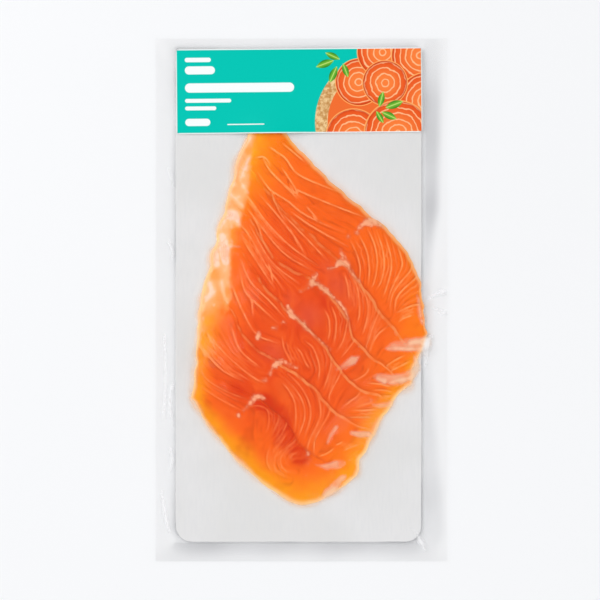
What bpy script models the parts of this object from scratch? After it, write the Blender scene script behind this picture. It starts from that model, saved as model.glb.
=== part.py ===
"""Vacuum pack of sliced salted trout, lying flat on its back with the fish up.

A clear pouch is welded flat all round a silver card. Six slices of trout lie on the card like
roof tiles, and the pouch is drawn down tight over them. A plain label sticks to the pouch across
the card's upper end. The pouch with all that it holds is one closed solid, and the label another.

Metres, +Z up. X runs across the pack, +Y to the labelled end, Z = 0 is the pouch's underside.
"""

import bpy
import numpy as np

# ---- driving dimensions ---------------------------------------------------------------------
POUCH_WIDTH = 0.1460        # weld edge to weld edge
POUCH_LENGTH = 0.2615
POUCH_CORNER = 0.0012       # radius of the pouch's cut corners
WELD_THICKNESS = 0.0006     # the two films where they are welded together

CARD_CENTRE = (-0.0015, 0.0025)
CARD_WIDTH = 0.1230
CARD_LENGTH = 0.2470
CARD_TOP = 0.0016           # height of the film that lies on the card
CARD_CORNER_LABEL_END = 0.0015
CARD_CORNER_FREE_END = 0.0080
TENT_REACH = 0.0042         # the film slopes down to the weld over this distance
# The slope's profile, card's edge last: shares of that reach, and of the card's height over the weld.
TENT_PROFILE = ((0.9, 0.05), (0.3, 0.45), (0.0, 1.0))
CORNER_STEPS = 6            # straight runs in a quarter-circle corner

LABEL_CENTRE = (-0.0012, 0.1046)
LABEL_WIDTH = 0.1230
LABEL_LENGTH = 0.0423
LABEL_CORNER = 0.0014
LABEL_THICKNESS = 0.0003
LABEL_TURN = np.radians(0.5)
LABEL_CORNER_ROWS = 5
LABEL_ROWS = 14
LABEL_COLUMNS = 33
GAP = 0.0003                # clearance between the label and the film under it
SWELL_CENTRE = (-0.0150, 0.0800)    # the tip of the fish lifts the label here
SWELL_REACH = (0.0150, 0.0130)
SWELL_HEIGHT = 0.0026

# The pile of slices is a loft. Each row follows the exposed upper edge of one slice, from the
# left rim of the pile over the notch at the fish's lateral line to the right rim, and the last
# row is the pile's lower left rim. Places are millimetres in the pack's own frame.
SLICE_EDGES = (
    ((-20, 96), (-6.8, 82), (13.3, 59.3), (33.8, 39), (48, 29), (58, 12.5), (63.3, -17)),
    ((-30.3, 75), (-20.5, 59.5), (-4, 40.5), (20.8, 19), (32.5, 5), (43.3, -10.5), (58.8, -28)),
    ((-38.8, 51), (-26.5, 42), (-12, 20.5), (7.3, 9.5), (21.5, -6), (29.5, -22.5), (54, -41.5)),
    ((-44.8, 30), (-30.5, 26), (-18.5, 8), (-4.8, -6.5), (11, -21.5), (25.5, -41), (46.8, -50)),
    ((-51.2, 1), (-36.5, -1.5), (-27, -19), (-10.3, -31), (5.5, -42.5), (18, -56), (37, -65.5)),
    ((-52.8, -25), (-47.5, -33.5), (-35, -42.5), (-22.3, -48.5), (-8.3, -60), (2.5, -75), (28, -88)),
    ((-55.3, -49), (-47.8, -61), (-36.8, -75), (-22.8, -89), (-10.8, -98), (3, -102.5), (19.5, -94)),
)
SLICE_COUNT = len(SLICE_EDGES) - 1
# Height over the card of each slice's exposed edge, and of the slice beneath where it passes
# under that edge: one, two, then three to four thicknesses of fish.
EDGE_HEIGHTS = (0.0038, 0.0072, 0.0098, 0.0112, 0.0112, 0.0100)
TUCK_HEIGHTS = (0.0054, 0.0082, 0.0096, 0.0096, 0.0084, 0.0034)
TIP_THICKNESS = 0.35        # share of that height left at the fish's tip, under the label
TIP_REACH = 0.050           # the tip thickens to the full height over this distance

EDGE_STEP = 0.03            # half the width of a step between two slices, as a share of a slice
EDGE_ROUND = 0.12           # where a slice reaches its full height, as a share of a slice
EDGE_DROP = 0.0006          # how far the rounded edge lies below that height
SLICE_ROWS = (EDGE_STEP, EDGE_ROUND, 0.40, 0.70, 1.0 - EDGE_STEP)
LAST_RIM = 0.28             # the last slice is rounded down to the card over this share
LAST_RIM_ROWS = (0.80, 0.88, 0.94, 0.98)
COLUMN_COUNT = 37

# How much of the pile's full height is left at the left rim, over the thick back, at the notch,
# over the thin belly and at the right rim.
ACROSS = (0.0, 0.10, 0.28, 0.55, 0.82, 1.0)
FULLNESS = (0.28, 0.76, 1.0, 1.0, 0.80, 0.34)
RIM_ROUND = 0.0030          # the fish's rim is rounded over this distance
RIM_HEIGHT = 0.0004         # height over the card of the rim's foot
ROOT_DEPTH = 0.0004         # how far each layer's foot reaches into the one that carries it
MM = 0.001
SHARP_EDGE = np.radians(35)


# ---- materials ------------------------------------------------------------------------------
def material(name, colour, roughness, metallic=0.0):
    """A plain Principled material."""
    made = bpy.data.materials.new(name)
    made.use_nodes = True
    shader = made.node_tree.nodes["Principled BSDF"]
    shader.inputs["Base Color"].default_value = (*colour, 1.0)
    shader.inputs["Roughness"].default_value = roughness
    shader.inputs["Metallic"].default_value = metallic
    made.diffuse_color = (*colour, 1.0)
    return made


# ---- mesh helpers ---------------------------------------------------------------------------
def add_object(name, vertices, faces, finish, collection):
    """An object at the origin with the given mesh, shaded smooth but for its sharp edges."""
    mesh = bpy.data.meshes.new(name)
    mesh.from_pydata(np.asarray(vertices).tolist(), [], faces)
    mesh.materials.append(finish)
    mesh.shade_smooth()
    mesh.set_sharp_from_angle(angle=SHARP_EDGE)
    made = bpy.data.objects.new(name, mesh)
    collection.objects.link(made)
    return made


def as_guide(guide):
    """Marks an object that only shapes another one."""
    guide.display_type = "WIRE"
    guide.hide_render = True


def loft(name, rings, finish, collection):
    """A closed solid through a stack of rings, bottom first, each counter-clockwise from above."""
    count = len(rings[0])
    faces = [list(range(count))[::-1]]
    for level in range(len(rings) - 1):
        low = level * count
        high = low + count
        for k in range(count):
            after = (k + 1) % count
            faces.append((low + k, low + after, high + after, high + k))
    faces.append([(len(rings) - 1) * count + k for k in range(count)])
    return add_object(name, np.concatenate(rings), faces, finish, collection)


def rounded_ring(centre, width, length, top_corner, bottom_corner, height):
    """A rectangle with quarter-circle corners, counter-clockwise, at one height."""
    half_x = width / 2
    half_y = length / 2
    corners = (
        (half_x - bottom_corner, bottom_corner - half_y, bottom_corner, -90),
        (half_x - top_corner, half_y - top_corner, top_corner, 0),
        (top_corner - half_x, half_y - top_corner, top_corner, 90),
        (bottom_corner - half_x, bottom_corner - half_y, bottom_corner, 180),
    )
    points = []
    for x, y, radius, start in corners:
        for k in range(CORNER_STEPS + 1):
            angle = np.radians(start + 90 * k / CORNER_STEPS)
            points.append((x + radius * np.cos(angle), y + radius * np.sin(angle)))
    ring = np.array(points) + centre
    return np.column_stack((ring, np.full(len(ring), height)))


# ---- pouch and card -------------------------------------------------------------------------
def make_weld(finish, collection):
    """The flat border of the pouch, with the underside of the whole pack."""
    rings = [
        rounded_ring((0, 0), POUCH_WIDTH, POUCH_LENGTH, POUCH_CORNER, POUCH_CORNER, height)
        for height in (0.0, WELD_THICKNESS)
    ]
    return loft("vacuum_pouch", rings, finish, collection)


def make_card(finish, collection):
    """The card under the film, and the film's slope from the card's edge down to the weld."""
    slope = [(TENT_REACH, WELD_THICKNESS - ROOT_DEPTH)]
    for out, up in TENT_PROFILE:
        slope.append((TENT_REACH * out, WELD_THICKNESS + (CARD_TOP - WELD_THICKNESS) * up))
    rings = [
        rounded_ring(
            CARD_CENTRE,
            CARD_WIDTH + 2 * reach,
            CARD_LENGTH + 2 * reach,
            CARD_CORNER_LABEL_END + reach,
            CARD_CORNER_FREE_END + reach,
            height,
        )
        for reach, height in slope
    ]
    return loft("card_under_film", rings, finish, collection)


# ---- slices ---------------------------------------------------------------------------------
def catmull_rom(points, where):
    """A smooth curve through the points, read at each place in where (0 to len(points) - 1)."""
    points = np.asarray(points, dtype=float)
    first = 2 * points[0] - points[1]
    last = 2 * points[-1] - points[-2]
    padded = np.concatenate(([first], points, [last]))
    where = np.atleast_1d(where)
    start = np.minimum(where.astype(int), len(points) - 2)
    t = (where - start).reshape((-1,) + (1,) * (points.ndim - 1))
    a, b, c, d = (padded[start + k] for k in range(4))
    return 0.5 * (2 * b + (c - a) * t + (2 * a - 5 * b + 4 * c - d) * t**2 + (3 * b - a - 3 * c + d) * t**3)


def round_off(distance, reach):
    """A quarter ellipse from 0 at the rim to 1 where the distance from it is at least reach."""
    return np.sqrt(1 - (1 - np.minimum(distance / reach, 1)) ** 2)


def pile_rows():
    """Where along the pile each row of the loft lies, and the fish's height over the card there."""
    places = [0.0]
    heights = [RIM_HEIGHT]
    for k in range(SLICE_COUNT):
        last = k == SLICE_COUNT - 1
        crest = EDGE_HEIGHTS[k]
        tuck = TUCK_HEIGHTS[k]
        for share in SLICE_ROWS[:-1] + LAST_RIM_ROWS if last else SLICE_ROWS:
            height = crest + (tuck - crest) * (share - EDGE_ROUND) / (1 - EDGE_ROUND)
            if share < EDGE_ROUND:
                height = crest - EDGE_DROP
            places.append(k + share)
            heights.append(height * round_off(1 - share, LAST_RIM) if last else height)
    places.append(float(SLICE_COUNT))
    heights.append(RIM_HEIGHT)
    return np.array(places), np.array(heights)


def make_pile(finish, collection):
    """The shingled slices as one loft whose foot reaches into the card."""
    places, heights = pile_rows()
    across = (1 - np.cos(np.linspace(0, np.pi, COLUMN_COUNT))) / 2
    columns = across * (len(SLICE_EDGES[0]) - 1)
    edges = [catmull_rom(edge, columns) for edge in SLICE_EDGES]
    plan = catmull_rom(edges, places) * MM
    run = np.linalg.norm(np.diff(plan, axis=1), axis=2)
    from_left = np.concatenate((np.zeros((len(places), 1)), np.cumsum(run, axis=1)), axis=1)
    from_rim = np.minimum(from_left, from_left[:, -1:] - from_left)
    rounding = round_off(from_rim, RIM_ROUND)
    from_tip = np.linalg.norm(plan - plan[0, 0], axis=2)
    thinning = TIP_THICKNESS + (1 - TIP_THICKNESS) * np.minimum(from_tip / TIP_REACH, 1)
    fullness = np.interp(across, ACROSS, FULLNESS) * thinning
    top = RIM_HEIGHT + (heights[:, None] - RIM_HEIGHT) * fullness * rounding
    top = CARD_TOP + top[..., None]
    foot = np.full_like(top, CARD_TOP - ROOT_DEPTH)
    vertices = np.concatenate((np.concatenate((plan, top), axis=2), np.concatenate((plan, foot), axis=2)))
    return grid_solid("trout_slices", vertices, finish, collection)


def grid_solid(name, vertices, finish, collection):
    """A closed solid from a grid of upper points, stacked on the same grid of lower points."""
    rows = vertices.shape[0] // 2
    columns = vertices.shape[1]
    index = np.arange(2 * rows * columns).reshape(2, rows, columns)
    faces = []
    for layer, upward in ((0, True), (1, False)):
        for r in range(rows - 1):
            for c in range(columns - 1):
                here, below = index[layer, r], index[layer, r + 1]
                face = (here[c], below[c], below[c + 1], here[c + 1])
                faces.append(face if upward else face[::-1])
    rim = [(0, c) for c in range(columns - 1)]
    rim += [(r, columns - 1) for r in range(rows - 1)]
    rim += [(rows - 1, c) for c in range(columns - 1, 0, -1)]
    rim += [(r, 0) for r in range(rows - 1, 0, -1)]
    for here, after in zip(rim, rim[1:] + rim[:1]):
        faces.append((index[0][here], index[0][after], index[1][after], index[1][here]))
    return add_object(name, vertices.reshape(-1, 3), faces, finish, collection)


# ---- label ----------------------------------------------------------------------------------
def make_label(finish, collection):
    """A thin sheet with rounded corners, lifted over the tip of the fish."""
    inset = LABEL_CORNER * (1 - np.cos(np.linspace(0, np.pi / 2, LABEL_CORNER_ROWS)))
    between = np.linspace(LABEL_CORNER, LABEL_LENGTH - LABEL_CORNER, LABEL_ROWS)[1:-1]
    along = np.concatenate((inset, between, LABEL_LENGTH - inset[::-1]))
    depth = np.clip(np.minimum(along, LABEL_LENGTH - along), 0, LABEL_CORNER)
    half = LABEL_WIDTH / 2 - LABEL_CORNER + np.sqrt(LABEL_CORNER**2 - (LABEL_CORNER - depth) ** 2)
    x = half[:, None] * np.linspace(-1, 1, LABEL_COLUMNS)
    y = np.broadcast_to((LABEL_LENGTH / 2 - along)[:, None], x.shape)
    turned_x = LABEL_CENTRE[0] + x * np.cos(LABEL_TURN) - y * np.sin(LABEL_TURN)
    turned_y = LABEL_CENTRE[1] + x * np.sin(LABEL_TURN) + y * np.cos(LABEL_TURN)
    aside = (turned_x - SWELL_CENTRE[0]) / SWELL_REACH[0]
    along_pack = (turned_y - SWELL_CENTRE[1]) / SWELL_REACH[1]
    under = CARD_TOP + GAP + SWELL_HEIGHT * np.exp(-aside**2 - along_pack**2)
    sheet = [np.stack((turned_x, turned_y, under + rise), axis=2) for rise in (LABEL_THICKNESS, 0.0)]
    return grid_solid("label", np.concatenate(sheet), finish, collection)


# ---- build ----------------------------------------------------------------------------------
def join(target, layer):
    """Fuses a layer to the target and keeps the layer as a guide."""
    fuse = target.modifiers.new("with_" + layer.name, "BOOLEAN")
    fuse.operation = "UNION"
    fuse.solver = "EXACT"
    fuse.material_mode = "TRANSFER"
    fuse.object = layer
    as_guide(layer)


def main():
    for old in list(bpy.data.objects):
        bpy.data.objects.remove(old, do_unlink=True)
    pack = bpy.data.collections.new("salted_trout_pack")
    layers = bpy.data.collections.new("pouch_layers")
    for collection in (pack, layers):
        bpy.context.scene.collection.children.link(collection)

    film = material("clear_film", (0.86, 0.87, 0.88), 0.15)
    card = material("silver_card", (0.74, 0.74, 0.75), 0.35)
    trout = material("salted_trout", (0.92, 0.17, 0.04), 0.35)
    paper = material("label_paper", (0.0, 0.56, 0.46), 0.4)

    pouch = make_weld(film, pack)
    join(pouch, make_card(card, layers))
    join(pouch, make_pile(trout, layers))
    make_label(paper, pack)


main()
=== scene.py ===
"""Looks of a vacuum pack of sliced salted trout: card, slices of fish, clear pouch and label.

Metres, +Z up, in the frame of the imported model: X across the pack, +Y to its labelled end.
"""

import bpy
import numpy as np
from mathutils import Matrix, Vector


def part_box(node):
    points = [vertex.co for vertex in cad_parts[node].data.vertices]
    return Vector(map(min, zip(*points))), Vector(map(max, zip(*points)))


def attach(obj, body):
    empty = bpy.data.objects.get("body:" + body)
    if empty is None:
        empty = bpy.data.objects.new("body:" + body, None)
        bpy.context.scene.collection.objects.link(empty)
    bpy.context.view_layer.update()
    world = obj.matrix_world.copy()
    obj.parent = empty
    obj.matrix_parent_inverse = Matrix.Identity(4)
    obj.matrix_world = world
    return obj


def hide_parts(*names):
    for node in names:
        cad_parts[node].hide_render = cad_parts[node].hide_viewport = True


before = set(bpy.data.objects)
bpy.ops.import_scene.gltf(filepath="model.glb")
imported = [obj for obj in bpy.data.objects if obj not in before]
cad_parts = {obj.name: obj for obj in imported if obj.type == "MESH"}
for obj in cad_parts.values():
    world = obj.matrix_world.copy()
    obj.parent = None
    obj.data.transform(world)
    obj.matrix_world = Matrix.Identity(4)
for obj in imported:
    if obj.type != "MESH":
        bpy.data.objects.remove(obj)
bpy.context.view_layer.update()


# ---- silver card ----------------------------------------------------------------------------
# The stiff board that the fish lies on: solid board with a matt silver laminate on its face. It is
# die cut, nearly square at the labelled end and rounded at the other. Its cut edge is painted darker: its
# grey core, with a painted shadow line along it.
MM = 0.001
CARD_CENTRE = np.array((-1.5, 2.5)) * MM
CARD_SIZE = np.array((123.0, 247.0)) * MM
CARD_CORNERS = (1.5 * MM, 8.0 * MM)     # at the labelled end, at the other end
CARD_UNDERSIDE = 0.25 * MM
CARD_FACE = 1.42 * MM
CARD_BEVEL = 0.12 * MM
CARD_EDGE_SHADE = 0.35 * MM
CORNER_STEPS = 10


def card_ring(inset, height):
    """A rectangle with quarter-circle corners, set in from the card's edge, counter-clockwise."""
    half = CARD_SIZE / 2 - inset
    angles = np.radians(np.linspace(0, 90, CORNER_STEPS))
    points = []
    for turn, (side, end, radius) in enumerate((
        (1, 1, CARD_CORNERS[0]),
        (-1, 1, CARD_CORNERS[0]),
        (-1, -1, CARD_CORNERS[1]),
        (1, -1, CARD_CORNERS[1]),
    )):
        radius = radius - inset
        middle = half - radius
        turned = angles + turn * np.pi / 2
        points.append(np.column_stack((
            side * middle[0] + radius * np.cos(turned),
            end * middle[1] + radius * np.sin(turned),
        )))
    ring = np.concatenate(points) + CARD_CENTRE
    return np.column_stack((ring, np.full(len(ring), height)))


def mesh_object(name, vertices, faces, **attributes):
    """An object at the origin from vertices and faces, shaded smooth, with values on its vertices."""
    mesh = bpy.data.meshes.new(name)
    mesh.from_pydata(np.asarray(vertices).reshape(-1, 3).tolist(), [], faces)
    for label, values in attributes.items():
        values = np.asarray(values, dtype=np.float32)
        kind, field = ("FLOAT", "value") if values.ndim == 1 else ("FLOAT_VECTOR", "vector")
        mesh.attributes.new(label, kind, "POINT").data.foreach_set(field, values.ravel())
    mesh.shade_smooth()
    made = bpy.data.objects.new(name, mesh)
    bpy.context.scene.collection.objects.link(made)
    return made


def seen(red, green, blue):
    """A colour as it looks, from 0 to 255, turned into the linear values that a shader takes."""
    share = np.array((red, green, blue)) / 255
    linear = np.where(share <= 0.04045, share / 12.92, ((share + 0.055) / 1.055) ** 2.4)
    return (*linear.tolist(), 1.0)


class Wire:
    """One output of a material's nodes. Arithmetic on it adds the Math node that works it out."""

    def __init__(self, tree, socket=None):
        self.tree = tree
        self.socket = socket

    def node(self, kind, inputs=(), output=0, stops=(), **settings):
        """Adds a node: its settings and ramp stops, then a value or a wire for each socket."""
        made = self.tree.nodes.new("ShaderNode" + kind)
        for name, value in settings.items():
            setattr(made, name, value)
        while stops and len(made.color_ramp.elements) < len(stops):
            made.color_ramp.elements.new(1.0)
        for place, (position, colour) in enumerate(stops):
            made.color_ramp.elements[place].position = position
            made.color_ramp.elements[place].color = colour
        for place, value in dict(inputs).items():
            if isinstance(value, Wire):
                self.tree.links.new(value.socket, made.inputs[place])
            else:
                made.inputs[place].default_value = value
        return Wire(self.tree, made.outputs[output])

    def math(self, operation, *others):
        """A Math node on this wire and what else the operation takes."""
        return self.node("Math", enumerate((self, *others)), operation=operation)

    def __add__(self, other):
        return self.math("ADD", other)

    def __sub__(self, other):
        return self.math("SUBTRACT", other)

    def __rsub__(self, other):
        return self.node("Math", {0: other, 1: self}, operation="SUBTRACT")

    def __mul__(self, other):
        return self.math("MULTIPLY", other)

    def __truediv__(self, other):
        return self.math("DIVIDE", other)

    def __pow__(self, other):
        return self.math("POWER", other)

    def __abs__(self):
        return self.math("ABSOLUTE")

    __radd__ = __add__
    __rmul__ = __mul__

    def rise(self, low, high, least=0.0, most=1.0):
        """A smooth step from least, where this is low, to most, where it is high."""
        limits = {0: self, 1: low, 2: high, 3: least, 4: most}
        return self.node("MapRange", limits, interpolation_type="SMOOTHSTEP")

    def paint(self, below, above):
        """The colour below where this is 0, and the colour above where it is 1."""
        return self.node("Mix", {0: self, 6: below, 7: above}, output=2, data_type="RGBA")

    def noise(self, scale, detail=2.0, roughness=0.5):
        """Cloudy noise from 0 to 1 at the place that this wire gives."""
        return self.node("TexNoise", {"Vector": self, "Scale": scale, "Detail": detail,
                                      "Roughness": roughness})


def finish(name, **uniform):
    """A material with a Principled shader and its uniform values: its start wire and its shader."""
    made = bpy.data.materials.new(name)
    made.use_nodes = True
    shader = made.node_tree.nodes["Principled BSDF"]
    for label, value in uniform.items():
        shader.inputs[label.replace("_", " ")].default_value = value
    return made, Wire(made.node_tree), shader


def feed(shader, **wires):
    """Links wires to the shader's sockets."""
    for label, wire in wires.items():
        wire.tree.links.new(wire.socket, shader.inputs[label.replace("_", " ")])


card_profile = (
    (CARD_BEVEL, CARD_UNDERSIDE, 1.0),
    (0.0, CARD_UNDERSIDE + CARD_BEVEL, 1.0),
    (0.0, CARD_FACE - CARD_BEVEL, 1.0),
    (CARD_BEVEL, CARD_FACE, 0.8),
    (CARD_EDGE_SHADE, CARD_FACE, 0.0),
)
card_rings = [card_ring(inset, height) for inset, height, wear in card_profile]
ring_size = len(card_rings[0])
ring_index = np.arange(ring_size * len(card_rings)).reshape(-1, ring_size)
ring_after = np.roll(ring_index, -1, axis=1)
card_faces = [ring_index[0][::-1].tolist(), ring_index[-1].tolist()]
card_faces += np.stack(
    (ring_index[:-1], ring_after[:-1], ring_after[1:], ring_index[1:]), axis=2
).reshape(-1, 4).tolist()
card = mesh_object(
    "silver_card",
    np.concatenate(card_rings),
    card_faces,
    wear=np.repeat([wear for inset, height, wear in card_profile], ring_size),
)

card_finish, wire, shader = finish("silver_laminate", Roughness=0.42, Metallic=0.0)
place = wire.node("TexCoord", output=3)
cloud = place.noise(22.0, detail=3.0)
grain = place.node("Mapping", {0: place, 3: (900.0, 120.0, 1.0)}).noise(1.0)
silver = cloud.rise(0.35, 0.65).paint(seen(223, 223, 223), seen(228, 228, 229))
silver = (grain.rise(0.4, 0.7) * 0.2).paint(silver, seen(214, 215, 218))
# Painted shadow line: the cut edge and its bevel are painted darker in patches, partly for the grey core.
wear = wire.node("Attribute", output=2, attribute_name="wear")
edge_shade_patches = place.noise(24.0, detail=3.0).rise(0.46, 0.6, 0.0, 0.6)
feed(
    shader,
    Base_Color=(wear.rise(0.1, 0.9) * edge_shade_patches).paint(silver, seen(128, 132, 138)),
    Roughness=0.38 + cloud * 0.1,
    Normal=wire.node("Bump", {"Strength": 0.15, "Distance": 0.00005, "Height": grain}),
)
card.data.materials.append(card_finish)
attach(card, "root")


# ---- trout slices ---------------------------------------------------------------------------
# Six cuts across a salted side of trout, laid like roof tiles from the labelled end down, so that
# each shows its upper part. A notch at the lateral line divides the back, with S-shaped lines of
# fat, from the belly, where they fan. The flesh is thin and yellower at its rims.
SLICE_EDGES = np.array((    # millimetres: the slices' upper edges from left to right, and the last rim
    ((-20, 96), (-6.8, 82), (13.8, 60.0), (36.3, 41), (48.5, 29.5), (58, 12.5), (63.3, -17)),
    ((-30.3, 75), (-20.5, 59.5), (-4, 40.5), (20.8, 19), (32.5, 5), (43.3, -10.5), (58.8, -28)),
    ((-38.8, 51), (-26.5, 42), (-12, 20.5), (7.3, 9.5), (21.5, -6), (29.5, -22.5), (54, -41.5)),
    ((-44.8, 30), (-30.5, 26), (-18.5, 8), (-4.8, -6.5), (11, -21.5), (25.5, -41), (46.8, -50)),
    ((-51.2, 1), (-36.5, -1.5), (-27, -19), (-10.3, -31), (5.5, -42.5), (18, -56), (37, -65.5)),
    ((-52.8, -25), (-47.5, -33.5), (-35, -42.5), (-22.3, -48.5), (-8.3, -60), (2.5, -75), (28, -88)),
    ((-55.3, -49), (-47.8, -61), (-36.8, -75), (-22.8, -89), (-10.8, -98), (3, -102.5), (19.5, -94)),
)) * MM
SLICE_COUNT = len(SLICE_EDGES) - 1
SPANS = SLICE_EDGES.shape[1] - 1
NOTCH = 3                   # the edge's point at the lateral line
EDGE_HEIGHTS = np.array((3.8, 7.2, 9.8, 11.2, 11.2, 10.0)) * MM     # of each slice's upper edge
TUCK_HEIGHTS = np.array((5.4, 8.2, 9.6, 9.6, 8.4, 3.4)) * MM        # where the next slice covers it
HIDDEN_SPAN = 1.2           # how far a slice goes on under the next ones, in slices
LAST_HIDDEN = 0.3           # but it ends this far above the last rim
# How full each slice is from its back to its belly: places from 0 to 1, shares of its full height.
ACROSS = (0.0, 0.14, 0.34, 0.55, 0.82, 1.0)
FULLNESS = (0.14, 0.66, 1.0, 1.0, 0.74, 0.15)
TIP_THICKNESS = 0.35        # the same share at the pile's upper tip
TIP_REACH = 50.0 * MM       # how far down from the tip the pile is thinner
RIM_ROUND = 3.0 * MM
RIM_HEIGHT = 0.4 * MM
LAST_RIM = 0.28             # the last slice thins to its rim over this share of its width
CUT_ROUND = 3.4 * MM        # width of a slice's sloping cut edge
CUT_START = 0.04            # the share of its thickness at which it starts
FIRST_CUT_ROUND = 4.5 * MM  # the first slice is shaved thin there
RICHNESS = (0.16, 0.12, 0.07, 0.02, 0.0, -0.02)    # how much redder each slice is than its thickness
PALENESS = (0.26, 0.36, 0.34, 0.30, 0.25, 0.2)     # how much paler each is beside the strip of fat
PALE_REACH = 26.0 * MM      # how far from the strip of fat the flesh beside it is paler
FLESH_SHARE = 0.975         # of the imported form's height, which is that of the film over the fish
# How narrow each slice's yellow rim is, at its back and at its belly.
RIM_SCALES = ((1.0, 2.4), (1.0, 1.7), (1.0, 1.2), (0.9, 1.0), (0.75, 1.0), (0.65, 0.9))
LAST_RIM_SCALE = 0.65       # the same along the last slice's lower rim
FIRST_RIM_SCALE = 3.0       # and along the first slice's cut edge,
FIRST_RIM_START = 2.6 * MM  # where it has no palest part
COLUMNS = 300
SIDE_CROWDING = 0.4         # how much closer the columns of points lie towards a slice's two ends
ROWS = 52
EDGE_CROWDING = 0.5         # how much closer the rows lie towards its upper edge
HIDDEN_ROWS = 8
FLESH_GAP = 0.02 * MM       # between the card and the flesh, so that their faces never meet
THINNEST = 0.01 * MM        # of any slice
LINE_DEPTH = 0.05 * MM      # of the groove over a line of fat
LINE_HALF_WIDTH = 0.5 * MM
TISSUE_HEIGHT = 0.22 * MM
DIMPLE_DEPTH = 0.10 * MM
DIMPLE_LENGTH = 17.0 * MM
SOFT_RELIEF = 1.5 * MM      # flesh thinner than this has less relief

# Lines of fat over the back, as places on the net of edges: spans along the edge, slices down.
BACK_LINES = (
    ((1.0, 0.17), (1.5, 0.10)),
    ((0.75, 0.42), (1.2, 0.32), (1.6, 0.33), (2.3, 0.03)),
    ((0.8, 0.66), (1.1, 0.69), (1.5, 0.66), (1.9, 0.59)),
    ((1.6, 0.60), (1.9, 0.48), (2.4, 0.27), (2.85, 0.10)),
    ((0.84, 0.93), (1.2, 0.95), (1.4, 0.93), (1.72, 0.83), (2.15, 0.77), (2.7, 0.55)),
    ((1.9, 0.93), (2.3, 0.86), (2.9, 0.70)),
    ((1.1, 1.25), (1.75, 1.21), (2.2, 1.30), (2.45, 1.48)),
    ((1.7, 1.10), (2.3, 1.13), (2.8, 1.25)),
    ((0.64, 1.58), (1.1, 1.60), (1.5, 1.58), (2.15, 1.52), (2.75, 1.56)),
    ((0.9, 1.86), (1.4, 1.83), (2.1, 1.76), (2.8, 1.80)),
    ((1.1, 2.18), (1.9, 2.22), (2.75, 2.32)),
    ((0.73, 2.39), (1.2, 2.47), (1.8, 2.52), (2.55, 2.72)),
    ((1.0, 2.76), (1.6, 2.80), (2.3, 2.86)),
    ((1.1, 3.20), (1.6, 3.28), (2.35, 3.17), (2.9, 3.20)),
    ((1.14, 3.39), (1.5, 3.52), (2.0, 3.41), (2.7, 3.38)),
    ((0.91, 3.66), (1.5, 3.79), (2.2, 3.81), (2.8, 3.70)),
    ((1.33, 4.19), (1.9, 4.29), (2.65, 4.37)),
    ((0.64, 4.53), (1.2, 4.60), (1.8, 4.58), (2.6, 4.66), (3.0, 4.66)),
    ((0.19, 4.77), (0.99, 4.82), (1.6, 4.85), (2.4, 4.83)),
    ((0.4, 5.20), (1.2, 5.17), (2.0, 5.13), (2.7, 5.10)),
    ((0.9, 5.40), (1.6, 5.33), (2.5, 5.30)),
)
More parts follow.
